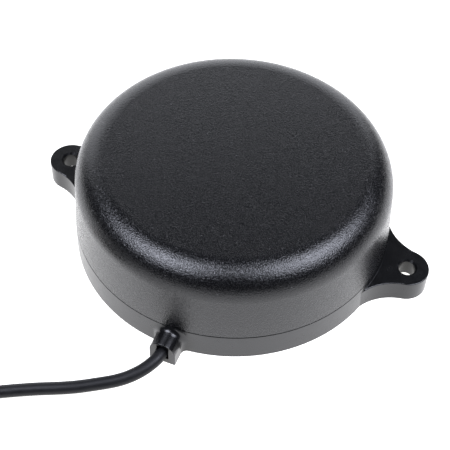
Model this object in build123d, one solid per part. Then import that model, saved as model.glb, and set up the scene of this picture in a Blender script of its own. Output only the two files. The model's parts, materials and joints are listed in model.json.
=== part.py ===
from build123d import *

import math
import os

# A sealed tactile transducer. A heavy magnet hangs between two dished springs inside a
# round plastic puck, and the puck is screwed to the thing that it shakes. Lengths are in
# millimetres. The origin is the centre of the underside, +Z is up, the two fixing ears
# lie along X, and the lead leaves towards -Y.

# Casing
FOOT_R = 53.0
SEAM_R = 52.8
SEAM_Z = 10.0
SEAM_BEVEL = 0.2
HEIGHT = 36.0
CUP_DRAFT = 1 / 16  # how far the cup's wall leans in for each millimetre of height
CUP_WALL = 2.6
CUP_TOP = 3.0
TOP_ROUND = 10.0
CEILING_Z = HEIGHT - CUP_TOP
FLOOR_Z = 2.6
BASE_INNER_R = 48.6
TONGUE_R = 49.8
TONGUE_TOP_Z = 13.0
SEAL_R, SEAL_INNER_R, SEAL_H = 51.3, 50.2, 0.9
SEAL_CLEARANCE = 0.05
NOTCH_W, NOTCH_H, NOTCH_DEEP, NOTCH_X = 6.2, 0.6, 1.2, 1.8
GROOVE_RADII = (25.0, 38.0)  # adhesive grooves in the underside
GROOVE_W, GROOVE_DEEP = 1.4, 0.5
SUNK = 0.5  # how far a moulded feature reaches into the wall that it stands on

# Fixing ears
EAR_X = 61.25
EAR_TIP_R = 7.2
EAR_H = 7.8
EAR_HOLE_R = 2.75
EAR_BEVEL = 0.6
EAR_WALL = 1.5
EAR_POCKET_H = 1.4
EAR_EDGE = 0.3
EAR_ROOT_R = 0.5  # the moulded radius where the ring stands on the ear
FLARE_R = 17.0
FLARE_START = 80.0  # where the flare leaves the round tip, in degrees from the ear's axis

# Cable boss and slot
BOSS_HALF_W = 4.3
BOSS_ARCH_Z = 4.6
BOSS_FACE_Y = -59.1
BOSS_EDGE = 0.2
BOSS_ROOT_R = 2.0  # the moulded radius between the boss and the ring
SLOT_X, SLOT_HALF_W = 0.2, 1.95  # its left wall pinches the lead's jacket
SLOT_LOW_Z, SLOT_HIGH_Z = 1.95, 7.9
SLOT_CORNER_R = 0.5
SLOT_INNER_Y = -41.9

# Posts that carry the springs, and pillars that take the casing screws
POST_AT, POST_R = 45.0, 2.9
LOWER_POST_ANGLES = (0, 120, 240)
UPPER_POST_ANGLES = (60, 180, 300)
PILLAR_AT, PILLAR_R = 45.2, 3.1
PILLAR_ANGLES = (45, 135, 225, 315)
PAD_TOP_Z = 4.6
PILLAR_GAP = 0.05
CASING_HEAD_R, CASING_HEAD_H, CASING_HEAD_SEAT_Z = 2.8, 1.8, 2.2
CASING_SCREW_R, CASING_SCREW_L = 1.25, 11.8
CASING_WAY_R, CASING_SINK_R = 1.6, 3.1

# Motor: the magnet and its two plates are the moving mass
TRAVEL = 2.0
POLE_R, POLE_VENT_R = 12.5, 3.0
PLATE_R, PLATE_HOLE_R = 33.0, 13.95
MAGNET_R, MAGNET_HOLE_R = 35.0, 18.0
BACK_R = 32.5
FRONT_Z, MAGNET_Z, BACK_Z, BACK_TOP_Z = 8.5, 12.5, 22.5, 26.5
POLE_LOW_Z = 9.0
PLATE_BEVEL, MAGNET_BEVEL, POLE_BEVEL = 0.3, 0.6, 0.5
FORMER_R, FORMER_T = 12.85, 0.2
FORMER_LOW_Z, FORMER_TOP_Z = 2.7, 15.0
COIL_LOW_Z, COIL_TOP_Z, COIL_R = 6.5, 14.5, 13.6
SPIGOT_R, SPIGOT_HOLE_R, SPIGOT_TOP_Z = 12.8, 9.0, 6.0

# Springs: flat at the hub and at the rim, with a shallow cone of slit arms between
SPRING_T = 0.6
SPRING_HUB_R, SPRING_HUB_OUT_R = 24.0, 33.5
SPRING_RIM_R, SPRING_RIM_OUT_R = 39.8, 41.5
SPRING_DISH = 2.5
SPRING_ARMS = 6
SLIT_W = 1.1
SLIT_SPIRAL = ((34.9, 0), (36.9, 52), (38.9, 104))  # radius and angle
LOWER_HUB_Z = FRONT_Z - SPRING_T
LOWER_RIM_Z = LOWER_HUB_Z - SPRING_DISH
UPPER_HUB_Z = BACK_TOP_Z
UPPER_RIM_Z = UPPER_HUB_Z + SPRING_DISH
LUG_NECK_W = 4.4
HUB_SCREW_AT, HUB_SCREW_R, HUB_SCREW_L = 28.5, 1.2, 3.6
HUB_SCREW_ANGLES = (0, 60, 120, 180, 240, 300)
HUB_HEAD_R, HUB_HEAD_H = 2.2, 1.5
HUB_TAPPED_L = 3.3
POST_SCREW_R, POST_HEAD_R, POST_HEAD_H = 0.95, 1.9, 1.5
LOWER_POST_SCREW_L, UPPER_POST_SCREW_L = 2.8, 7.0
HEAD_ROUND, POINT_BEVEL = 0.45, 0.4  # parts of the head's height and of the shank's radius
CROSS_L, CROSS_W, CROSS_H = 1.2, 0.32, 1.2  # parts of the head's radius, and of its height
SCREW_CLEARANCE = 0.05
HOLE_CLEARANCE = 0.15
SLIP = 0.02

# Stops of soft rubber
STOP_AT = 19.5
STOP_ANGLES = (90, 210, 330)
LOWER_STOP_R, UPPER_STOP_R = 3.0, 4.0
STOP_GAP = 0.3  # what is left of the gap at full travel
STOP_ROUND = 0.6

# Clamp and terminal board
CLAMP_Y, CLAMP_Z, CLAMP_TOP_Z = -45.35, 4.6, 8.0
CLAMP_L, CLAMP_W, CLAMP_SCREW_X = 16.0, 4.5, 5.6
CLAMP_SCREW_R, CLAMP_HEAD_R, CLAMP_HEAD_H, CLAMP_SCREW_L = 0.8, 1.7, 1.3, 4.8
CLAMP_POST_R, CLAMP_CORNER_R = 1.9, 1.0
BOARD_Y, BOARD_Z, BOARD_T = -19.5, 3.0, 1.2
BOARD_L, BOARD_W, BOARD_POST_R, BOARD_CORNER_R = 12.0, 6.4, 1.8, 0.6
BOARD_SCREW_R, BOARD_HEAD_R, BOARD_HEAD_H, BOARD_SCREW_L = 0.65, 1.5, 1.1, 1.5
TAG_X, TAG_W, TAG_L, TAG_T = 4.0, 2.2, 5.6, 0.3
TAG_EDGE = 0.1
SOLDER_R = 0.8

# Lead
CABLE_D = 4.0
CORE_D = 1.3
TIP_D = 0.9
TIP_L = 6.0
LEAD_OUT_D = 0.6
LEAD_OUT_X = 3.1  # where the lead-out wires meet the winding
BEND_SHARE = 0.45  # the part of the shorter run that an arc takes up
CABLE_Z = 4.0  # height of the lead's middle in the slot
LOOSE_FROM_Y = -54.0  # inside the slot, where the loose lead begins
JACKET_END_Y = -42.4
LAID_Z = CABLE_D / 2
LEAD_ROUTE = (
    (0, LOOSE_FROM_Y, CABLE_Z),
    (0, -59.0, CABLE_Z),
    (-1.6, -63.7, 3.7),
    (-4.5, -68.0, 3.0),
    (-8.6, -71.8, 2.3),
    (-14.6, -75.6, LAID_Z),
    (-21.4, -79.8, LAID_Z),
    (-32.2, -84.7, LAID_Z),
    (-46.2, -92.4, LAID_Z),
    (-60.8, -99.7, LAID_Z + 0.2),
    (-70.9, -105.2, LAID_Z + 0.4),
)
TAIL_ROUTE = (
    (-102.7, -94.4, 9.33),
    (-106.2, -86.6, 10.0),
    (-108.9, -78.6, 9.4),
    (-109.2, -70.4, 6.6),
    (-106.0, -63.0, 3.4),
    (-99.8, -57.6, LAID_Z),
    (-92.4, -54.8, LAID_Z),
)
RED_END_ROUTE = (
    (-92.65, -54.15, LAID_Z),
    (-87.6, -52.2, 1.3),
    (-82.8, -51.9, CORE_D / 2),
    (-78.2, -53.2, CORE_D / 2),
)
BLACK_END_ROUTE = (
    (-92.15, -55.45, LAID_Z),
    (-87.2, -54.2, 1.3),
    (-82.7, -54.9, CORE_D / 2),
    (-78.4, -57.0, CORE_D / 2),
)

# The rest of the lead, coiled and tied
COIL_CENTRE = (-81.6, -84.5)
COIL_MEAN_R = 21.3
BUNDLE_R = 6.03
TIE_T, TIE_GAP, TIE_SWEEP, TIE_ANGLE = 0.4, 0.03, 14.0, 30.0
BUNDLE_Z = TIE_T + CABLE_D / 2 + CABLE_D * math.sqrt(3) / 2  # three rows of nested turns


def rod(radius, low, high, x=0.0, y=0.0):
    """An upright round bar."""
    return Pos(x, y, low) * extrude(Circle(radius), high - low)


def ring(outer, inner, low, high):
    """An upright round tube."""
    return Pos(0, 0, low) * extrude(Circle(outer) - Circle(inner), high - low)


def turned(*outline):
    """The solid that an outline of (radius, height) points sweeps about the middle."""
    return revolve(Plane.XZ * make_face(Polyline(*outline, close=True)), Axis.Z)


def spots(radius, angles):
    """Places on a circle about the middle, each turned to face outwards."""
    return [Rot(0, 0, angle) * Pos(radius, 0, 0) for angle in angles]


def copies(shape, places):
    """The same shape at each place, as separate solids of one node."""
    return Compound(children=[place * shape for place in places])


def screw(head_r, head_h, shank_r, length):
    """A pan head screw with a cross recess, its head standing on Z = 0."""
    head = rod(head_r, 0, head_h)
    head = fillet(head.edges().group_by(Axis.Z)[-1], head_h * HEAD_ROUND)
    shank = rod(shank_r, -length, 0)
    shank = chamfer(shank.edges().group_by(Axis.Z)[0], shank_r * POINT_BEVEL)
    arm = Box(head_r * CROSS_L, head_r * CROSS_W, head_h * CROSS_H)
    recess = Pos(0, 0, head_h) * (arm + Rot(0, 0, 90) * arm)
    return head + shank - recess


def wire(name, route, diameter):
    """A round wire along straight runs joined by arcs as large as the runs allow."""
    corners = [Vector(*point) for point in route]
    runs = [end - start for start, end in zip(corners, corners[1:])]
    radii = []
    for before, after in zip(runs, runs[1:]):
        half_turn = math.radians(before.get_angle(after)) / 2
        radii.append(BEND_SHARE * min(before.length, after.length) / math.tan(half_turn))
    path = FilletPolyline(*corners, radius=radii)
    section = Plane(origin=path @ 0, z_dir=path % 0) * Circle(diameter / 2)
    solid = sweep(section, path=path)
    share = solid.volume / (path.length * math.pi * diameter**2 / 4)
    print(f"{name}: length {path.length:.1f}, volume {share:.4f} of section times length")
    print("    runs", [round(run.length, 1) for run in runs])
    print("    radii", [round(radius, 1) for radius in radii])
    return solid


def base_radius(z):
    """The base's outer radius at a height."""
    return FOOT_R - (FOOT_R - SEAM_R) * z / SEAM_Z


def cup_radius(z, wall=0.0):
    """The cup's outer radius at a height, or its inner radius when given the wall."""
    return SEAM_R - wall - (z - SEAM_Z) * CUP_DRAFT


def ear_plan():
    """The outline of one ear seen from above: a round tip, and concave flares down to the ring."""
    start = math.radians(FLARE_START)
    flare_x = EAR_X + (EAR_TIP_R + FLARE_R) * math.cos(start)
    flare_y = (EAR_TIP_R + FLARE_R) * math.sin(start)
    away = math.hypot(flare_x, flare_y)
    at_ring = math.acos((away**2 + FLARE_R**2 - SEAM_R**2) / (2 * away * FLARE_R))
    sweep = FLARE_START - math.degrees(math.atan2(flare_y, flare_x) + at_ring)
    root_x = FOOT_R - 2 * EAR_TIP_R
    tip = CenterArc((EAR_X, 0), EAR_TIP_R, -FLARE_START, 2 * FLARE_START)
    upper = CenterArc((flare_x, flare_y), FLARE_R, 180 + FLARE_START, -sweep)
    lower = CenterArc((flare_x, -flare_y), FLARE_R, 180 - FLARE_START, sweep)
    back = Polyline(upper @ 1, (root_x, (upper @ 1).Y), (root_x, (lower @ 1).Y), lower @ 1)
    return make_face([tip, upper, back, lower])


def ear():
    """One fixing ear, before its hole is made."""
    body = extrude(ear_plan(), EAR_H)
    rim = body.edges().group_by(Axis.Z)[-1].filter_by(GeomType.CIRCLE)
    return fillet(rim, EAR_EDGE)


def ear_hollow():
    """What is taken out of an ear: its screw hole and the cored underside."""
    hole = rod(EAR_HOLE_R, -1, EAR_H + 1, EAR_X)
    bevel = Cone(EAR_HOLE_R, EAR_HOLE_R + 2 * EAR_BEVEL, 2 * EAR_BEVEL)
    pocket = offset(ear_plan(), -EAR_WALL) - Circle(FOOT_R + EAR_WALL)
    return hole + Pos(EAR_X, 0, EAR_H) * bevel + extrude(pocket, EAR_POCKET_H)


def boss():
    """The arched cable boss, from inside the wall to its front face."""
    arch = Pos(0, BOSS_ARCH_Z) * Circle(BOSS_HALF_W)
    foot = Pos(0, BOSS_ARCH_Z / 2) * Rectangle(2 * BOSS_HALF_W, BOSS_ARCH_Z)
    back_y = CUP_WALL - FOOT_R
    body = Pos(0, back_y, 0) * extrude(Plane.XZ * (arch + foot), back_y - BOSS_FACE_Y)
    front = body.edges().group_by(Axis.Y)[0].filter_by_position(Axis.Z, BOSS_EDGE, HEIGHT)
    return fillet(front, BOSS_EDGE)


def cable_slot():
    """The tall slot that the lead comes through."""
    height = SLOT_HIGH_Z - SLOT_LOW_Z
    profile = Pos(SLOT_X, SLOT_LOW_Z + height / 2) * Rectangle(2 * SLOT_HALF_W, height)
    profile = fillet(profile.vertices(), SLOT_CORNER_R)
    length = SLOT_INNER_Y - BOSS_FACE_Y + 1
    return Pos(0, SLOT_INNER_Y, 0) * extrude(Plane.XZ * profile, length)


def base_shell():
    """The base's outer form: drafted ring, ears and boss, with their moulded radii."""
    tall_z = BOSS_ARCH_Z + BOSS_HALF_W + 2 * BOSS_ROOT_R
    shell = turned((0, 0), (FOOT_R, 0), (base_radius(tall_z), tall_z), (0, tall_z))
    shell = shell + ear() + Rot(0, 0, 180) * ear() + boss()
    at_ear = shell.edges().filter_by_position(Axis.Z, EAR_H - 0.01, EAR_H + 0.01)
    at_ear = at_ear.filter_by(GeomType.CIRCLE)
    shell = fillet(at_ear.filter_by(lambda edge: edge.radius > 2 * FLARE_R), EAR_ROOT_R)
    at_boss = shell.edges().filter_by_position(Axis.X, -BOSS_HALF_W - 0.1, BOSS_HALF_W + 0.1)
    at_boss = at_boss.filter_by_position(Axis.Y, -FOOT_R - 0.5, -FOOT_R + 1.0)
    at_boss = at_boss.filter_by_position(Axis.Z, 0.1, tall_z - 0.1)
    shell = fillet(at_boss, BOSS_ROOT_R)
    bevel_z = SEAM_Z - SEAM_BEVEL
    outer_r = EAR_X + 2 * EAR_TIP_R
    return shell & turned(
        (0, 0),
        (outer_r, 0),
        (outer_r, bevel_z),
        (SEAM_R, bevel_z),
        (SEAM_R - SEAM_BEVEL, SEAM_Z),
        (0, SEAM_Z),
    )


def base_plate():
    """The lower casing, with everything that is moulded on its floor."""
    base = base_shell() - rod(BASE_INNER_R, FLOOR_Z, SEAM_Z + 1)
    base = base + ring(TONGUE_R, BASE_INNER_R, SEAM_Z - SUNK, TONGUE_TOP_Z)
    for side in (0, 180):
        base = base - Rot(0, 0, side) * ear_hollow()
    sunk_z = FLOOR_Z - SUNK
    base = base + ring(SPIGOT_R, SPIGOT_HOLE_R, sunk_z, SPIGOT_TOP_Z)
    screw_r = POST_SCREW_R + SCREW_CLEARANCE
    lower_post = rod(POST_R, sunk_z, LOWER_RIM_Z) - rod(screw_r, FLOOR_Z, LOWER_RIM_Z + 1)
    for place in spots(POST_AT, LOWER_POST_ANGLES):
        base = base + place * lower_post
    upper_post = rod(POST_R, sunk_z, UPPER_RIM_Z)
    upper_post = upper_post - rod(screw_r, UPPER_RIM_Z - UPPER_POST_SCREW_L, UPPER_RIM_Z + 1)
    for place in spots(POST_AT, UPPER_POST_ANGLES):
        base = base + place * upper_post
    screw_way = rod(CASING_WAY_R, -1, PAD_TOP_Z + 1) + rod(CASING_SINK_R, -1, CASING_HEAD_SEAT_Z)
    for place in spots(PILLAR_AT, PILLAR_ANGLES):
        base = base + place * rod(PILLAR_R, sunk_z, PAD_TOP_Z)
        base = base - place * screw_way
    for x in (-CLAMP_SCREW_X, CLAMP_SCREW_X):
        base = base + rod(CLAMP_POST_R, sunk_z, CLAMP_Z, x, CLAMP_Y)
        base = base - rod(CLAMP_SCREW_R + SCREW_CLEARANCE, FLOOR_Z, CLAMP_Z + 1, x, CLAMP_Y)
    base = base + rod(BOARD_POST_R, sunk_z, BOARD_Z, 0, BOARD_Y)
    base = base - rod(BOARD_SCREW_R + SCREW_CLEARANCE, FLOOR_Z, BOARD_Z + 1, 0, BOARD_Y)
    base = base - cable_slot()
    for radius in GROOVE_RADII:
        base = base - ring(radius + GROOVE_W / 2, radius - GROOVE_W / 2, -1, GROOVE_DEEP)
    return base


def top_cup():
    """The upper casing: a drafted cup with a large round edge and four screw pillars."""
    outside = turned(
        (0, SEAM_Z),
        (SEAM_R - SEAM_BEVEL, SEAM_Z),
        (cup_radius(SEAM_Z + SEAM_BEVEL), SEAM_Z + SEAM_BEVEL),
        (cup_radius(HEIGHT), HEIGHT),
        (0, HEIGHT),
    )
    outside = fillet(outside.edges().group_by(Axis.Z)[-1], TOP_ROUND)
    inside = turned(
        (0, SEAM_Z - 1),
        (cup_radius(SEAM_Z - 1, CUP_WALL), SEAM_Z - 1),
        (cup_radius(CEILING_Z, CUP_WALL), CEILING_Z),
        (0, CEILING_Z),
    )
    inside = fillet(inside.edges().group_by(Axis.Z)[-1], TOP_ROUND - CUP_TOP)
    rebate = ring(SEAL_R + SEAL_CLEARANCE, SEAL_INNER_R - 1, SEAM_Z - 1, SEAM_Z + SEAL_H)
    notch = Pos(NOTCH_X, -SEAM_R, SEAM_Z) * Box(NOTCH_W, 2 * NOTCH_DEEP, 2 * NOTCH_H)
    cup = outside - inside - rebate - notch
    screw_top_z = CASING_HEAD_SEAT_Z + CASING_SCREW_L
    pillar = rod(PILLAR_R, PAD_TOP_Z + PILLAR_GAP, CEILING_Z + SUNK)
    pillar = pillar - rod(CASING_SCREW_R + SCREW_CLEARANCE, PAD_TOP_Z, screw_top_z + 1)
    for place in spots(PILLAR_AT, PILLAR_ANGLES):
        cup = cup + place * pillar
    return cup


def spring(rim_z, hub_z, lug_angles):
    """A dished spring: flat hub, coned band slit into arms, and a rim with three lugs."""
    plate = turned(
        (SPRING_HUB_R, hub_z),
        (SPRING_HUB_OUT_R, hub_z),
        (SPRING_RIM_R, rim_z),
        (SPRING_RIM_OUT_R, rim_z),
        (SPRING_RIM_OUT_R, rim_z + SPRING_T),
        (SPRING_RIM_R, rim_z + SPRING_T),
        (SPRING_HUB_OUT_R, hub_z + SPRING_T),
        (SPRING_HUB_R, hub_z + SPRING_T),
    )
    spiral = [Vector(radius, 0).rotate(Axis.Z, angle) for radius, angle in SLIT_SPIRAL]
    slit = extrude(SlotArc(ThreePointArc(*spiral), SLIT_W), HEIGHT)
    for place in spots(0, range(0, 360, 360 // SPRING_ARMS)):
        plate = plate - place * slit
    neck_l = POST_AT - SPRING_RIM_R - SPRING_T
    lug = Circle(POST_R) + Pos(-neck_l / 2, 0) * Rectangle(neck_l, LUG_NECK_W)
    lug = Pos(0, 0, rim_z) * extrude(lug, SPRING_T)
    for place in spots(POST_AT, lug_angles):
        plate = plate + place * lug
        plate = plate - place * rod(POST_SCREW_R + HOLE_CLEARANCE, 0, HEIGHT)
    for place in spots(HUB_SCREW_AT, HUB_SCREW_ANGLES):
        plate = plate - place * rod(HUB_SCREW_R + HOLE_CLEARANCE, 0, HEIGHT)
    return plate


def tapped(plate, low, high):
    """The plate with the six screw holes that hold a spring's hub."""
    for place in spots(HUB_SCREW_AT, HUB_SCREW_ANGLES):
        plate = plate - place * rod(HUB_SCREW_R + SCREW_CLEARANCE, low, high)
    return plate


def front_plate():
    """The lower pole plate, a thick ring round the voice coil."""
    plate = ring(PLATE_R, PLATE_HOLE_R, FRONT_Z, MAGNET_Z)
    plate = chamfer(plate.edges().filter_by(GeomType.CIRCLE), PLATE_BEVEL)
    return tapped(plate, FRONT_Z - 1, FRONT_Z + HUB_TAPPED_L)


def ring_magnet():
    """The ferrite ring."""
    magnet = ring(MAGNET_R, MAGNET_HOLE_R, MAGNET_Z, BACK_Z)
    return chamfer(magnet.edges().filter_by(GeomType.CIRCLE), MAGNET_BEVEL)


def yoke():
    """The upper plate, in one piece with the pole that stands in the voice coil."""
    plate = rod(BACK_R, BACK_Z, BACK_TOP_Z)
    plate = chamfer(plate.edges().filter_by(GeomType.CIRCLE), PLATE_BEVEL)
    pole = rod(POLE_R, POLE_LOW_Z, BACK_Z)
    pole = chamfer(pole.edges().group_by(Axis.Z)[0], POLE_BEVEL)
    body = plate + pole - rod(POLE_VENT_R, POLE_LOW_Z - 1, BACK_TOP_Z + 1)
    return tapped(body, BACK_TOP_Z - HUB_TAPPED_L, BACK_TOP_Z + 1)


def stops(radius, low, high, rounded):
    """Three soft stops, their free end rounded."""
    stop = rod(radius, low, high)
    stop = fillet(stop.edges().group_by(Axis.Z)[rounded], STOP_ROUND)
    return copies(stop, spots(STOP_AT, STOP_ANGLES))


def cable_clamp():
    """The bar that holds the lead's jacket down inside the casing."""
    height = CLAMP_TOP_Z - CLAMP_Z
    bar = Pos(0, CLAMP_Y, CLAMP_Z + height / 2) * Box(CLAMP_L, CLAMP_W, height)
    bar = fillet(bar.edges().filter_by(Axis.Z), CLAMP_CORNER_R)
    groove = Rot(90, 0, 0) * Cylinder(CABLE_D / 2 + SLIP, 2 * CLAMP_W)
    groove = Pos(0, CLAMP_Y, CABLE_Z) * groove
    for x in (-CLAMP_SCREW_X, CLAMP_SCREW_X):
        bar = bar - rod(CLAMP_SCREW_R + HOLE_CLEARANCE, 0, HEIGHT, x, CLAMP_Y)
    return bar - groove


def terminal_board():
    """The small board where the lead's cores meet the voice coil's wires."""
    board = Pos(0, BOARD_Y, BOARD_Z + BOARD_T / 2) * Box(BOARD_L, BOARD_W, BOARD_T)
    board = fillet(board.edges().filter_by(Axis.Z), BOARD_CORNER_R)
    return board - rod(BOARD_SCREW_R + HOLE_CLEARANCE, 0, HEIGHT, 0, BOARD_Y)


def solder_tag():
    """A brass strip with a mound of solder at its inner end."""
    strip = Pos(0, 0, TAG_T / 2) * Box(TAG_W, TAG_L, TAG_T)
    mound = Sphere(SOLDER_R) & Pos(0, 0, SOLDER_R) * Box(TAG_W, TAG_W, 2 * SOLDER_R)
    return strip + Pos(0, TAG_L / 2 - SOLDER_R - TAG_EDGE, TAG_T) * mound


def lead_outs():
    """The two thin wires from the solder tags up to the voice coil's winding."""
    wires = []
    winding_r = FORMER_R + FORMER_T + LEAD_OUT_D / 2 + SLIP
    end_y = -math.sqrt(winding_r**2 - LEAD_OUT_X**2)
    for name, side in (("left lead-out", -1), ("right lead-out", 1)):
        top_z = BOARD_Z + BOARD_T + TAG_T + LEAD_OUT_D / 2
        route = (
            (side * TAG_X, BOARD_Y + TAG_L / 2 + TAG_EDGE, top_z),
            (side * TAG_X, BOARD_Y + TAG_L / 2 + 1.0, top_z),
            (side * (LEAD_OUT_X + 0.4), end_y - 1.2, top_z + 0.2),
            (side * LEAD_OUT_X, end_y, top_z + 0.8),
            (side * LEAD_OUT_X, end_y, COIL_LOW_Z),
        )
        wires.append(wire(name, route, LEAD_OUT_D))
    return Compound(children=wires)


def inner_core(name, side):
    """One core of the lead, from the jacket's end to the terminal board."""
    low_z = FLOOR_Z + CORE_D / 2 + 0.1
    route = (
        (side * 0.75, JACKET_END_Y, CABLE_Z),
        (side * 0.9, -39.2, 3.75),
        (side * 2.2, -34.4, low_z),
        (side * 3.6, -29.2, low_z),
        (side * TAG_X, BOARD_Y - BOARD_W / 2 - 0.05, low_z + 0.3),
    )
    return wire(name, route, CORE_D)


def inner_cable():
    """The jacketed lead from inside the slot, under the clamp, to where its jacket ends."""
    length = JACKET_END_Y - LOOSE_FROM_Y
    middle_y = (JACKET_END_Y + LOOSE_FROM_Y) / 2
    return Pos(0, middle_y, CABLE_Z) * Rot(90, 0, 0) * Cylinder(CABLE_D / 2, length)


def bundle(radius, low):
    """A coil's section: a circle with a flat underside at a height."""
    above = Pos(COIL_MEAN_R, low + HEIGHT / 2) * Rectangle(HEIGHT, HEIGHT)
    return Pos(COIL_MEAN_R, BUNDLE_Z) * Circle(radius) & above


def cable_coil():
    """The outer shape of the coiled length."""
    return Pos(*COIL_CENTRE) * revolve(Plane.XZ * bundle(BUNDLE_R, TIE_T), Axis.Z)


def cable_tie():
    """The band round the coil's turns."""
    section = bundle(BUNDLE_R + TIE_GAP + TIE_T, 0) - bundle(BUNDLE_R + TIE_GAP, TIE_T)
    band = revolve(Plane.XZ * section, Axis.Z, revolution_arc=TIE_SWEEP)
    return Pos(*COIL_CENTRE) * Rot(0, 0, TIE_ANGLE) * band


def core_tip(route):
    """The tinned strands that stand out of a core's end."""
    before, end = Vector(*route[-2]), Vector(*route[-1])
    along = (end - before).normalized()
    return extrude(Plane(origin=end, z_dir=along) * Circle(TIP_D / 2), TIP_L)


casing_screw = screw(CASING_HEAD_R, CASING_HEAD_H, CASING_SCREW_R, CASING_SCREW_L)
hub_screw = screw(HUB_HEAD_R, HUB_HEAD_H, HUB_SCREW_R, HUB_SCREW_L)
lower_post_screw = screw(POST_HEAD_R, POST_HEAD_H, POST_SCREW_R, LOWER_POST_SCREW_L)
upper_post_screw = screw(POST_HEAD_R, POST_HEAD_H, POST_SCREW_R, UPPER_POST_SCREW_L)
clamp_screw = screw(CLAMP_HEAD_R, CLAMP_HEAD_H, CLAMP_SCREW_R, CLAMP_SCREW_L)
board_screw = screw(BOARD_HEAD_R, BOARD_HEAD_H, BOARD_SCREW_R, BOARD_SCREW_L)
board_top_z = BOARD_Z + BOARD_T
lower_stop_top_z = FRONT_Z - TRAVEL - STOP_GAP
upper_stop_low_z = BACK_TOP_Z + TRAVEL + STOP_GAP

nodes = {
    "base_plate": base_plate(),
    "top_cup": top_cup(),
    "seal_ring": ring(SEAL_R, SEAL_INNER_R, SEAM_Z, SEAM_Z + SEAL_H),
    "casing_screws": copies(
        Pos(0, 0, CASING_HEAD_SEAT_Z) * Rot(180, 0, 0) * casing_screw,
        spots(PILLAR_AT, PILLAR_ANGLES),
    ),
    "lower_spring": spring(LOWER_RIM_Z, LOWER_HUB_Z, LOWER_POST_ANGLES),
    "upper_spring": spring(UPPER_RIM_Z, UPPER_HUB_Z, UPPER_POST_ANGLES),
    "lower_post_screws": copies(
        Pos(0, 0, LOWER_RIM_Z + SPRING_T) * lower_post_screw,
        spots(POST_AT, LOWER_POST_ANGLES),
    ),
    "upper_post_screws": copies(
        Pos(0, 0, UPPER_RIM_Z + SPRING_T) * upper_post_screw,
        spots(POST_AT, UPPER_POST_ANGLES),
    ),
    "lower_stops": stops(LOWER_STOP_R, FLOOR_Z, lower_stop_top_z, -1),
    "upper_stops": stops(UPPER_STOP_R, upper_stop_low_z, CEILING_Z, 0),
    "coil_former": ring(FORMER_R + FORMER_T, FORMER_R, FORMER_LOW_Z, FORMER_TOP_Z),
    "voice_coil": ring(COIL_R, FORMER_R + FORMER_T, COIL_LOW_Z, COIL_TOP_Z),
    "lead_out_wires": lead_outs(),
    "terminal_board": terminal_board(),
    "solder_tags": copies(solder_tag(), [Pos(x, BOARD_Y, board_top_z) for x in (-TAG_X, TAG_X)]),
    "terminal_screw": Pos(0, BOARD_Y, board_top_z) * board_screw,
    "inner_cable": inner_cable(),
    "inner_core_red": inner_core("inner red core", 1),
    "inner_core_black": inner_core("inner black core", -1),
    "cable_clamp": cable_clamp(),
    "clamp_screws": copies(
        clamp_screw,
        [Pos(x, CLAMP_Y, CLAMP_TOP_Z) for x in (-CLAMP_SCREW_X, CLAMP_SCREW_X)],
    ),
    "front_plate": front_plate(),
    "ring_magnet": ring_magnet(),
    "yoke": yoke(),
    "lower_hub_screws": copies(
        Pos(0, 0, LOWER_HUB_Z) * Rot(180, 0, 0) * hub_screw,
        spots(HUB_SCREW_AT, HUB_SCREW_ANGLES),
    ),
    "upper_hub_screws": copies(
        Pos(0, 0, UPPER_HUB_Z + SPRING_T) * hub_screw,
        spots(HUB_SCREW_AT, HUB_SCREW_ANGLES),
    ),
    "cable_lead": wire("lead", LEAD_ROUTE, CABLE_D),
    "cable_coil": cable_coil(),
    "cable_tail": wire("tail", TAIL_ROUTE, CABLE_D),
    "cable_tie": cable_tie(),
    "core_red_end": wire("red core", RED_END_ROUTE, CORE_D),
    "core_black_end": wire("black core", BLACK_END_ROUTE, CORE_D),
    "core_tips": Compound(children=[core_tip(RED_END_ROUTE), core_tip(BLACK_END_ROUTE)]),
}

os.makedirs("parts", exist_ok=True)
for node, shape in nodes.items():
    export_step(shape, f"parts/{node}.step")
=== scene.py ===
import json
import math

import bmesh
import bpy
from mathutils import Matrix, Vector


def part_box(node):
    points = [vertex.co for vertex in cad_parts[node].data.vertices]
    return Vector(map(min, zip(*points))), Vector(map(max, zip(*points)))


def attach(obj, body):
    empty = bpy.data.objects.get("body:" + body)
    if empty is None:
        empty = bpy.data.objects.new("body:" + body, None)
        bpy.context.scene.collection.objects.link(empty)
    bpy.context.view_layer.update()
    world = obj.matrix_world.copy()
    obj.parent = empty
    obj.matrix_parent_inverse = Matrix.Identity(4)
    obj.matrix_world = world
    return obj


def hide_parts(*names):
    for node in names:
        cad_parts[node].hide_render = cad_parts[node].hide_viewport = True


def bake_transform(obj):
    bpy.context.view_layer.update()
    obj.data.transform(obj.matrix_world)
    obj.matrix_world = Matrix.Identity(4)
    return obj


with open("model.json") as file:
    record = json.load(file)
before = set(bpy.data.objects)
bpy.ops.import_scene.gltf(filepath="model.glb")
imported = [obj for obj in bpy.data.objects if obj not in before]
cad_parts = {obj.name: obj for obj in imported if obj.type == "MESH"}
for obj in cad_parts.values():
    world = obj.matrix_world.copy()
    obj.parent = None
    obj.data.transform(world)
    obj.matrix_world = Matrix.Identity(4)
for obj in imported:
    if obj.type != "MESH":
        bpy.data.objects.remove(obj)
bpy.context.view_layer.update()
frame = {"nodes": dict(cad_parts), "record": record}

# A sealed tactile transducer on a light table, with its lead coiled and tied beside it.
# Lengths are in metres.

MM = 0.001
NODES = frame["nodes"]

# ---------------------------------------------------------------- camera

ELEVATION = math.radians(49.116)
AZIMUTH = math.radians(19.669)
ROLL = math.radians(2.559)
DISTANCE = 0.36357
TARGET = Vector((0, 0, 0.01325))
LENS = 86.73
SHIFT = (-0.01871, -0.05405)


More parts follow.
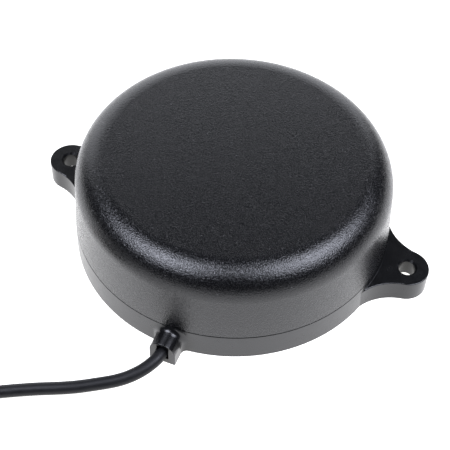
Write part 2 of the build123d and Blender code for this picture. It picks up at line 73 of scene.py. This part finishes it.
def make_camera():
    """The camera, above the cable boss's side. SHIFT places the object in the frame."""
    back = Vector((
        math.sin(AZIMUTH) * math.cos(ELEVATION),
        -math.cos(AZIMUTH) * math.cos(ELEVATION),
        math.sin(ELEVATION),
    ))
    level = Vector((math.cos(AZIMUTH), math.sin(AZIMUTH), 0))
    upright = back.cross(level)
    right = level * math.cos(ROLL) + upright * math.sin(ROLL)
    up = upright * math.cos(ROLL) - level * math.sin(ROLL)
    data = bpy.data.cameras.new("camera")
    data.sensor_width = 36
    data.lens = LENS
    data.shift_x, data.shift_y = SHIFT
    data.clip_start = 0.01
    camera = bpy.data.objects.new("camera", data)
    bpy.context.scene.collection.objects.link(camera)
    axes = Matrix((right, up, back)).transposed().to_4x4()
    camera.matrix_world = Matrix.Translation(TARGET + back * DISTANCE) @ axes
    bpy.context.scene.camera = camera


make_camera()

# ---------------------------------------------------------------- lead

CABLE_D = 4.0 * MM
CORE_D = 1.3 * MM
LAID_Z = CABLE_D / 2
LEAD_ROUTE = (
    (0, -0.0540, 0.0040),
    (0, -0.0590, 0.0040),
    (-0.0016, -0.0637, 0.0037),
    (-0.0045, -0.0680, 0.0030),
    (-0.0086, -0.0718, 0.0023),
    (-0.0146, -0.0756, LAID_Z),
    (-0.0214, -0.0798, LAID_Z),
    (-0.0322, -0.0847, LAID_Z),
    (-0.0462, -0.0924, LAID_Z),
    (-0.0608, -0.0997, LAID_Z + 0.0002),
    (-0.0709, -0.1052, LAID_Z + 0.0004),
)
TAIL_ROUTE = (
    (-0.1027, -0.0944, 0.00933),
    (-0.1062, -0.0866, 0.0100),
    (-0.1089, -0.0786, 0.0094),
    (-0.1092, -0.0704, 0.0066),
    (-0.1060, -0.0630, 0.0034),
    (-0.0998, -0.0576, LAID_Z),
    (-0.0924, -0.0548, LAID_Z),
)
RED_END_ROUTE = (
    (-0.09265, -0.05415, LAID_Z),
    (-0.0876, -0.0522, 0.0013),
    (-0.0828, -0.0519, CORE_D / 2),
    (-0.0782, -0.0532, CORE_D / 2),
)
BLACK_END_ROUTE = (
    (-0.09215, -0.05545, LAID_Z),
    (-0.0872, -0.0542, 0.0013),
    (-0.0827, -0.0549, CORE_D / 2),
    (-0.0784, -0.0570, CORE_D / 2),
)
COIL_CENTRE = Vector((-0.0816, -0.0845))
COIL_MEAN_R = 0.0213
ROW_H = CABLE_D * math.sqrt(3) / 2
TIE_T = 0.4 * MM
BOTTOM_Z = LAID_Z + TIE_T
# Where each turn lies in the bundle: diameters outwards from its middle, and the row
TURNS = ((0.5, 0), (-0.5, 0), (-1, 1), (0, 1), (1, 1), (-0.5, 2), (0.5, 2))
STEPS_PER_TURN = 16
CHANGE_OVER = 0.16  # the part of a turn in which the lead moves over to the next place


def ease(t):
    """0 to 1 with a soft start and end."""
    t = min(max(t, 0.0), 1.0)
    return t * t * (3 - 2 * t)


def coil_points(start, end):
    """The control points of the turns, clockwise from one route's end to the next one's start."""
    first = math.atan2(start[1] - COIL_CENTRE.y, start[0] - COIL_CENTRE.x)
    last = math.atan2(end[1] - COIL_CENTRE.y, end[0] - COIL_CENTRE.x)
    whole = len(TURNS) - 1
    sweep = whole * 2 * math.pi + (first - last) % (2 * math.pi)
    steps = round(sweep / (2 * math.pi) * STEPS_PER_TURN)
    # The curve touches its control polygon from inside, halfway between two points
    outwards = 1 / math.cos(sweep / steps / 2)
    points = []
    for i in range(1, steps):
        turn = sweep * i / steps / (2 * math.pi)
        k = min(int(turn), whole)
        over = ease((turn - k - (1 - CHANGE_OVER)) / CHANGE_OVER) if k < whole else 0.0
        here, there = TURNS[k], TURNS[min(k + 1, whole)]
        out = here[0] + (there[0] - here[0]) * over
        row = here[1] + (there[1] - here[1]) * over
        radius = (COIL_MEAN_R + out * CABLE_D) * outwards
        angle = first - sweep * i / steps
        points.append((
            COIL_CENTRE.x + radius * math.cos(angle),
            COIL_CENTRE.y + radius * math.sin(angle),
            BOTTOM_Z + row * ROW_H,
        ))
    return points


def link(name, data):
    """A new object of the scene that rides on the casing."""
    piece = bpy.data.objects.new(name, data)
    bpy.context.scene.collection.objects.link(piece)
    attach(piece, "casing")
    return piece


def nurbs(name, lines, diameter, resolution=12, around=8):
    """Round smooth curves, each with its points as its control points."""
    data = bpy.data.curves.new(name, "CURVE")
    data.dimensions = "3D"
    data.bevel_depth = 1.0  # times each point's radius
    data.bevel_resolution = around
    data.resolution_u = resolution
    data.use_fill_caps = True
    for points in lines:
        spline = data.splines.new("NURBS")
        spline.points.add(len(points) - 1)
        for point, place in zip(spline.points, points):
            point.co = (*place, 1)
            point.radius = diameter / 2
        spline.order_u = 3
        spline.use_endpoint_u = True
    return link(name, data)


cable = nurbs(
    "cable",
    [[*LEAD_ROUTE, *coil_points(LEAD_ROUTE[-1], TAIL_ROUTE[0]), *TAIL_ROUTE]],
    CABLE_D,
)
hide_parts("cable_lead", "cable_coil", "cable_tail")

core_red = nurbs("core_red", [RED_END_ROUTE], CORE_D)
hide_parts("core_red_end")

core_black = nurbs("core_black", [BLACK_END_ROUTE], CORE_D)
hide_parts("core_black_end")

# ---------------------------------------------------------------- tinned strands

TIP_L = 6.0 * MM
STRAND_D = 0.3 * MM
STRAND_TURNS = 1.4
STRAND_STEPS = 14
STRANDS_AROUND = 6


def strand_lines(route):
    """One straight strand out of a core's end, and six that twist round it."""
    before, end = Vector(route[-2]), Vector(route[-1])
    along = (end - before).normalized()
    across = along.cross(Vector((0, 0, 1))).normalized()
    upward = across.cross(along)
    lines = [[end + along * (TIP_L * part) for part in (0, 0.33, 0.66, 0.97)]]
    for strand in range(STRANDS_AROUND):
        line = []
        for step in range(STRAND_STEPS + 1):
            part = step / STRAND_STEPS
            angle = 2 * math.pi * (strand / STRANDS_AROUND + STRAND_TURNS * part)
            aside = across * math.cos(angle) + upward * math.sin(angle)
            line.append(end + along * TIP_L * part + aside * STRAND_D)
        lines.append(line)
    return lines


strands = nurbs(
    "core_strands",
    strand_lines(RED_END_ROUTE) + strand_lines(BLACK_END_ROUTE),
    STRAND_D,
    resolution=4,
    around=3,
)
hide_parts("core_tips")

# ---------------------------------------------------------------- tie round the coil

TIE_ANGLE = math.radians(37)
TIE_W = 2.6 * MM
TIE_GAP = 0.02 * MM
TIE_ARC_STEPS = 6
HEAD_L, HEAD_W, HEAD_H = 4.6 * MM, 4.0 * MM, 2.4 * MM
STUB_L, STUB_T = 1.1 * MM, 0.8 * MM
STUB_OUT = HEAD_L / 5
TIE_EDGE_R = 0.16 * MM
SHARP_ANGLE = math.radians(40)


def bundle_outline(offset):
    """The outline of the bundle's six outer turns, as (out, up) from the bundle's middle."""
    points = []
    for corner in range(6):
        facing = math.radians(60 * corner)
        centre = Vector((math.cos(facing), math.sin(facing))) * CABLE_D
        for step in range(TIE_ARC_STEPS + 1):
            angle = facing + math.radians(60 * step / TIE_ARC_STEPS - 30)
            outward = Vector((math.cos(angle), math.sin(angle)))
            points.append(centre + outward * (CABLE_D / 2 + offset))
    return points


def add_block(build, size, place):
    """A block with its middle at a place, in the tie's own axes: out, along the coil, up."""
    made = bmesh.ops.create_cube(build, size=1)
    bmesh.ops.scale(build, vec=size, verts=made["verts"])
    bmesh.ops.translate(build, vec=place, verts=made["verts"])


def make_tie():
    """A nylon strap drawn tight round the turns, its head and its cut-off end on top."""
    build = bmesh.new()
    loops = []
    for offset, side in ((TIE_GAP, -1), (TIE_T, -1), (TIE_T, 1), (TIE_GAP, 1)):
        outline = bundle_outline(offset)
        loops.append([build.verts.new((p.x, side * TIE_W / 2, p.y)) for p in outline])
    count = len(loops[0])
    for loop, after in zip(loops, loops[1:] + loops[:1]):
        for i in range(count):
            j = (i + 1) % count
            build.faces.new((loop[i], loop[j], after[j], after[i]))
    top_z = ROW_H + CABLE_D / 2 + TIE_T
    add_block(build, (HEAD_L, HEAD_W, HEAD_H), (0, 0, top_z + HEAD_H / 2 - TIE_T / 2))
    add_block(build, (STUB_T, TIE_W, STUB_L * 2), (STUB_OUT, 0, top_z + HEAD_H))
    bmesh.ops.recalc_face_normals(build, faces=build.faces)
    middle = Vector((COIL_CENTRE.x, COIL_CENTRE.y, BOTTOM_Z + ROW_H))
    to_coil = Matrix.Translation(middle) @ Matrix.Rotation(TIE_ANGLE, 4, "Z")
    build.transform(to_coil @ Matrix.Translation((COIL_MEAN_R, 0, 0)))
    mesh = bpy.data.meshes.new("coil_tie")
    build.to_mesh(mesh)
    build.free()
    tie = link("coil_tie", mesh)
    bevel = tie.modifiers.new("soft edges", "BEVEL")
    bevel.width = TIE_EDGE_R
    bevel.segments = 3
    bevel.limit_method = "ANGLE"
    bevel.angle_limit = SHARP_ANGLE
    for polygon in mesh.polygons:
        polygon.use_smooth = True
    return tie


tie = make_tie()
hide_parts("cable_tie")

# ---------------------------------------------------------------- springs

SPRING_T = 0.6 * MM


def make_spring(name, node, rim_below):
    """A copy of a dished spring's mesh, put in place of its CAD part."""
    spring = bpy.data.objects.new(name, NODES[node].data.copy())
    bpy.context.scene.collection.objects.link(spring)
    low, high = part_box(node)
    ends = [(0, 0, low[2] + SPRING_T), (0, 0, high[2] - SPRING_T)]
    if not rim_below:
        ends.reverse()
    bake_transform(spring)
    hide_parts(node)
    return spring


springs = (
    make_spring("lower_flexure", "lower_spring", True),
    make_spring("upper_flexure", "upper_spring", False),
)

# ---------------------------------------------------------------- materials


class Finish:
    """A material whose colour, gloss and relief come from patterns in object space."""

    def __init__(self, name, color, roughness, **sockets):
        self.material = bpy.data.materials.new(name)
        self.material.use_nodes = True
        self.tree = self.material.node_tree
        self.shader = self.tree.nodes["Principled BSDF"]
        self.place = self.node("TexCoord").outputs["Object"]
        self.relief = None
        self.set("Base Color", (*color, 1))
        self.set("Roughness", roughness)
        for socket, value in sockets.items():
            self.set(socket.replace("_", " "), value)

    def set(self, socket, value):
        """Feeds one of the shader's sockets from a node's output, or sets it."""
        self.feed(self.shader.inputs[socket], value)

    def feed(self, socket, value):
        """Links a node's output to a socket, or gives the socket a plain value."""
        if isinstance(value, bpy.types.NodeSocket):
            self.tree.links.new(value, socket)
        else:
            socket.default_value = value

    def node(self, kind, inputs=(), **settings):
        """A new node with its sockets fed by name and value."""
        made = self.tree.nodes.new("ShaderNode" + kind)
        for name, value in settings.items():
            setattr(made, name, value)
        for name, value in dict(inputs).items():
            self.feed(made.inputs[name], value)
        return made

    def noise(self, size, detail=2.0, stretch=(1, 1, 1)):
        """Cloudy noise with lumps of about a size, drawn out along the axes by stretch."""
        scale = [1 / part for part in stretch]
        place = self.node("Mapping", {"Vector": self.place, "Scale": scale}).outputs[0]
        inputs = {"Vector": place, "Scale": 1 / size, "Detail": detail}
        return self.node("TexNoise", inputs).outputs[0]

    def cells(self, size):
        """Distance to the nearest of points scattered about a size apart."""
        inputs = {"Vector": self.place, "Scale": 1 / size}
        return self.node("TexVoronoi", inputs).outputs["Distance"]

    def bands(self, pitch, direction, distortion=0.0):
        """Fine ridges a pitch apart: along an axis, or as rings round it."""
        kind, axis = direction
        settings = {"wave_type": kind, kind.lower() + "_direction": axis}
        # The wave texture's own ridges are pi/10 apart at a scale of 1
        inputs = {"Vector": self.place, "Scale": math.pi / 10 / pitch, "Distortion": distortion}
        return self.node("TexWave", inputs, **settings).outputs["Fac"]

    def between(self, value, low, high, from_low=0.3, from_high=0.7):
        """The value, drawn from one range to another."""
        inputs = {
            "Value": value,
            "From Min": from_low,
            "From Max": from_high,
            "To Min": low,
            "To Max": high,
        }
        return self.node("MapRange", inputs).outputs["Result"]

    def tint(self, factor, first, second):
        """The base colour, mixed from two colours by a pattern."""
        mixed = self.node("Mix", data_type="RGBA")
        colors = [socket for socket in mixed.inputs if socket.type == "RGBA"]
        self.feed(mixed.inputs[0], factor)
        for socket, color in zip(colors, (first, second)):
            socket.default_value = (*color, 1)
        result = [socket for socket in mixed.outputs if socket.type == "RGBA"][0]
        self.set("Base Color", result)

    def bump(self, height, depth, strength=1.0):
        """Adds relief of a depth, over what relief there is already."""
        inputs = {"Height": height, "Distance": depth, "Strength": strength}
        if self.relief:
            inputs["Normal"] = self.relief
        self.relief = self.node("Bump", inputs).outputs["Normal"]
        self.set("Normal", self.relief)


def dark(level):
    """The faintly blue black of the object's plastics, at a level."""
    return (0.93 * level, 0.95 * level, 1.1 * level)


def cup_plastic():
    """Black plastic with a fine spark-eroded grain, and pale specks painted in as glints of its
    sparkle.
    """
    f = Finish("cup_plastic", dark(0.003), 0.42)
    f.bump(f.noise(0.38 * MM, 0), 0.078 * MM)
    f.bump(f.noise(0.25 * MM, 0), 0.052 * MM)
    f.set("Roughness", f.between(f.noise(0.33 * MM, 0), 0.08, 0.35))
    # Pale grey specks painted into the base colour: painted glints that stand in for the grain's
    # sparkle.
    painted_glints = f.between(f.cells(2.8 * MM), 1.0, 0.0, 0.03, 0.07)
    f.tint(painted_glints, dark(0.003), (0.10, 0.10, 0.10))
    return f.material


def base_plastic():
    """Black plastic from a polished mould: satin, with a slight ripple and fine scuffs."""
    f = Finish("base_plastic", dark(0.003), 0.25)
    f.bump(f.noise(6 * MM, 1), 0.02 * MM, 0.5)
    f.bump(f.noise(0.22 * MM, 2), 0.003 * MM)
    f.set("Roughness", f.between(f.noise(3 * MM, 4), 0.22, 0.28))
    f.tint(f.noise(1.2 * MM, 4), dark(0.002), dark(0.004))
    return f.material


def cable_jacket():
    """Soft black PVC with the faint ripple of its extrusion."""
    f = Finish("cable_jacket", dark(0.004), 0.36)
    f.set("Specular IOR Level", 0.24)
    f.bump(f.noise(1.6 * MM, 2), 0.03 * MM, 0.6)
    f.bump(f.noise(0.12 * MM, 2), 0.004 * MM)
    f.set("Roughness", f.between(f.noise(2.5 * MM, 3), 0.40, 0.50))
    f.tint(f.noise(4 * MM, 4), dark(0.004), dark(0.008))
    return f.material


def core_skin(name, first, second):
    """The thin glossy PVC round one core."""
    f = Finish(name, first, 0.32)
    f.bump(f.noise(0.5 * MM, 2), 0.01 * MM, 0.6)
    f.set("Roughness", f.between(f.noise(0.8 * MM, 3), 0.26, 0.42))
    f.tint(f.noise(1.5 * MM, 3), first, second)
    return f.material


def metal(name, first, second, roughness, patch=2 * MM, **sockets):
    """A bright metal with cloudy differences in colour and gloss."""
    f = Finish(name, first, roughness, Metallic=1.0, **sockets)
    f.tint(f.noise(patch, 4), first, second)
    f.set("Roughness", f.between(f.noise(patch / 3, 3), roughness * 0.75, roughness * 1.3))
    return f


def tinned_strands():
    """Solder-coated copper, with copper showing through in places."""
    f = metal("tinned_strands", (0.76, 0.75, 0.72), (0.60, 0.52, 0.44), 0.25, 0.6 * MM)
    f.bump(f.noise(0.15 * MM, 3), 0.01 * MM)
    return f.material


def zinc_screw():
    """Zinc plate with its faint blue passivation."""
    f = metal("zinc_screw", (0.58, 0.60, 0.65), (0.70, 0.69, 0.66), 0.30, 1.5 * MM)
    f.bump(f.noise(0.10 * MM, 2), 0.003 * MM)
    return f.material


def pole_steel():
    """Turned low-carbon steel: fine tool rings under zinc plate."""
    f = metal("pole_steel", (0.50, 0.51, 0.54), (0.62, 0.62, 0.61), 0.30, 5 * MM)
    f.bump(f.bands(0.25 * MM, ("RINGS", "Z"), 0.3), 0.006 * MM)
    f.bump(f.noise(0.12 * MM, 2), 0.003 * MM)
    return f.material


def spring_steel():
    """Rolled strip: long fine lines along X, and a faint brown heat tint in patches."""
    f = metal("spring_steel", (0.44, 0.44, 0.45), (0.52, 0.49, 0.44), 0.34, 8 * MM)
    f.bump(f.noise(0.12 * MM, 3, stretch=(60, 1, 1)), 0.006 * MM)
    return f.material


def ferrite():
    """Ground ferrite: dull dark grey, with grinding lines and small pits."""
    f = Finish("ferrite", (0.045, 0.045, 0.048), 0.62)
    f.set("Metallic", 0.25)
    f.tint(f.noise(1.2 * MM, 5), (0.035, 0.035, 0.038), (0.075, 0.074, 0.074))
    f.bump(f.noise(0.2 * MM, 2, stretch=(30, 1, 1)), 0.010 * MM)
    f.bump(f.between(f.cells(1.4 * MM), 0.0, 1.0, 0.05, 0.22), 0.05 * MM)
    f.set("Roughness", f.between(f.noise(0.6 * MM, 3), 0.5, 0.75))
    return f.material


COPPER = ((0.62, 0.23, 0.09), (0.50, 0.15, 0.06))


def winding():
    """Enamelled copper wire, turn by turn."""
    f = metal("winding", *COPPER, 0.24, 3 * MM, Coat_Weight=0.5)
    f.bump(f.bands(0.26 * MM, ("BANDS", "Z"), 0.1), 0.10 * MM)
    return f.material


def lead_out():
    """The same enamelled copper wire, where it runs alone."""
    f = metal("lead_out", *COPPER, 0.22, 1.5 * MM, Coat_Weight=0.5)
    f.bump(f.noise(0.3 * MM, 2), 0.008 * MM)
    return f.material


def former():
    """Heat-resistant film, amber and slightly uneven."""
    f = Finish("former", (0.42, 0.20, 0.035), 0.22, Coat_Weight=0.4)
    f.tint(f.noise(3 * MM, 3), (0.46, 0.22, 0.04), (0.34, 0.15, 0.025))
    f.bump(f.noise(2 * MM, 3), 0.02 * MM, 0.5)
    return f.material


def board():
    """Paper laminate: tan, with short fibres."""
    f = Finish("board", (0.30, 0.19, 0.08), 0.5)
    fibres = f.noise(0.25 * MM, 4, stretch=(6, 1, 1))
    f.tint(fibres, (0.34, 0.22, 0.10), (0.24, 0.14, 0.055))
    f.bump(fibres, 0.006 * MM)
    return f.material


def tag():
    """Tinned brass under a dull skin of solder."""
    f = metal("tag", (0.70, 0.69, 0.64), (0.66, 0.58, 0.36), 0.33, 1.2 * MM)
    f.bump(f.noise(0.3 * MM, 3), 0.015 * MM)
    return f.material


def seal_rubber():
    """Closed-cell foam rubber."""
    f = Finish("seal_rubber", (0.02, 0.02, 0.021), 0.85)
    f.bump(f.cells(0.25 * MM), 0.06 * MM)
    f.tint(f.noise(0.4 * MM, 3), (0.016, 0.016, 0.017), (0.03, 0.03, 0.031))
    return f.material


def stop_rubber():
    """Moulded soft rubber, bloomed a little grey."""
    f = Finish("stop_rubber", (0.05, 0.05, 0.052), 0.7)
    f.tint(f.noise(2 * MM, 4), (0.035, 0.035, 0.037), (0.075, 0.075, 0.078))
    f.bump(f.noise(0.25 * MM, 3), 0.015 * MM)
    return f.material


def tie_nylon():
    """Black nylon, slightly glossy and slightly uneven."""
    f = Finish("tie_nylon", dark(0.010), 0.36)
    f.bump(f.noise(0.5 * MM, 3), 0.012 * MM)
    f.set("Roughness", f.between(f.noise(1.5 * MM, 3), 0.3, 0.44))
    f.tint(f.noise(2 * MM, 3), dark(0.010), dark(0.018))
    return f.material


finishes = {
    "cup_plastic": cup_plastic(),
    "base_plastic": base_plastic(),
    "cable_jacket": cable_jacket(),
    "core_red": core_skin("core_red", (0.52, 0.018, 0.012), (0.42, 0.012, 0.010)),
    "core_black": core_skin("core_black", (0.012, 0.012, 0.013), (0.020, 0.020, 0.021)),
    "tinned_strands": tinned_strands(),
    "tie": tie_nylon(),
    "seal_rubber": seal_rubber(),
    "stop_rubber": stop_rubber(),
    "zinc_screw": zinc_screw(),
    "pole_steel": pole_steel(),
    "spring_steel": spring_steel(),
    "ferrite": ferrite(),
    "former": former(),
    "winding": winding(),
    "board": board(),
    "tag": tag(),
}


def put(piece, material):
    """Gives a piece its one material."""
    piece.data.materials.clear()
    piece.data.materials.append(material)


for subpart in frame["record"]["subparts"]:
    put(NODES[subpart["node"]], finishes[subpart["material_slot"]])
put(NODES["lead_out_wires"], lead_out())
put(cable, finishes["cable_jacket"])
put(core_red, finishes["core_red"])
put(core_black, finishes["core_black"])
put(strands, finishes["tinned_strands"])
put(tie, finishes["tie"])
for spring in springs:
    put(spring, finishes["spring_steel"])

# ---------------------------------------------------------------- stage

TABLE_GLOW_NEAR, TABLE_GLOW_FAR = 1.30, 0.42
TABLE_NEAR, TABLE_FAR = 0.10, 0.32  # the glow fades between these distances from its middle
TABLE_MIDDLE = (-0.045 * math.sin(AZIMUTH), 0.045 * math.cos(AZIMUTH))
TABLE_Z = -0.05 * MM
TABLE_HALF = 2.0
SOFTBOX_COLOR = (0.84, 0.87, 1.0)
WALL_COLOR = (0.92, 0.94, 1.0)
ROOM_COLOR, ROOM_GLOW = (0.88, 0.92, 1.0), 0.05


def make_floor():
    """A white light table: a large plane that glows by itself."""
    mesh = bpy.data.meshes.new("floor")
    build = bmesh.new()
    bmesh.ops.create_grid(build, x_segments=1, y_segments=1, size=TABLE_HALF)
    build.to_mesh(mesh)
    build.free()
    floor = bpy.data.objects.new("floor", mesh)
    bpy.context.scene.collection.objects.link(floor)
    floor.location = (*TABLE_MIDDLE, TABLE_Z)
    glow = Finish("light_table", (0.36, 0.36, 0.36), 0.7)
    glow.set("Emission Color", (1, 0.99, 0.97, 1))
    away = glow.node("VectorMath", {0: glow.place}, operation="LENGTH").outputs["Value"]
    fade = glow.between(away, TABLE_GLOW_NEAR, TABLE_GLOW_FAR, TABLE_NEAR, TABLE_FAR)
    glow.set("Emission Strength", fade)
    mesh.materials.append(glow.material)


def make_light(name, turn, lean, distance, size, power, color):
    """A soft light aimed at the object: it leans from straight up, in degrees.

    At a turn of 0 it leans towards the camera, and at 90 to the camera's right.
    """
    data = bpy.data.lights.new(name, "AREA")
    data.shape = "RECTANGLE"
    data.size, data.size_y = size
    data.energy = power
    data.color = color
    light = bpy.data.objects.new(name, data)
    bpy.context.scene.collection.objects.link(light)
    light.visible_camera = False
    aimed = Matrix.Rotation(AZIMUTH + math.radians(turn), 4, "Z")
    aimed = aimed @ Matrix.Rotation(math.radians(lean), 4, "X")
    light.matrix_world = aimed @ Matrix.Translation((0, 0, distance))


make_floor()
make_light("softbox_left", -63, 31, 0.8, (0.48, 0.44), 7.5, SOFTBOX_COLOR)
make_light("softbox_right", 75, 33, 0.8, (0.57, 0.44), 8.6, SOFTBOX_COLOR)
make_light("back_wall", 190, 71, 1.2, (2.0, 0.86), 11.6, WALL_COLOR)

world = bpy.data.worlds.new("world")
world.use_nodes = True
room = world.node_tree.nodes["Background"].inputs
room["Color"].default_value = (*ROOM_COLOR, 1)
room["Strength"].default_value = ROOM_GLOW
bpy.context.scene.world = world
bpy.context.scene.view_settings.view_transform = "Standard"

bpy.context.view_layer.update()
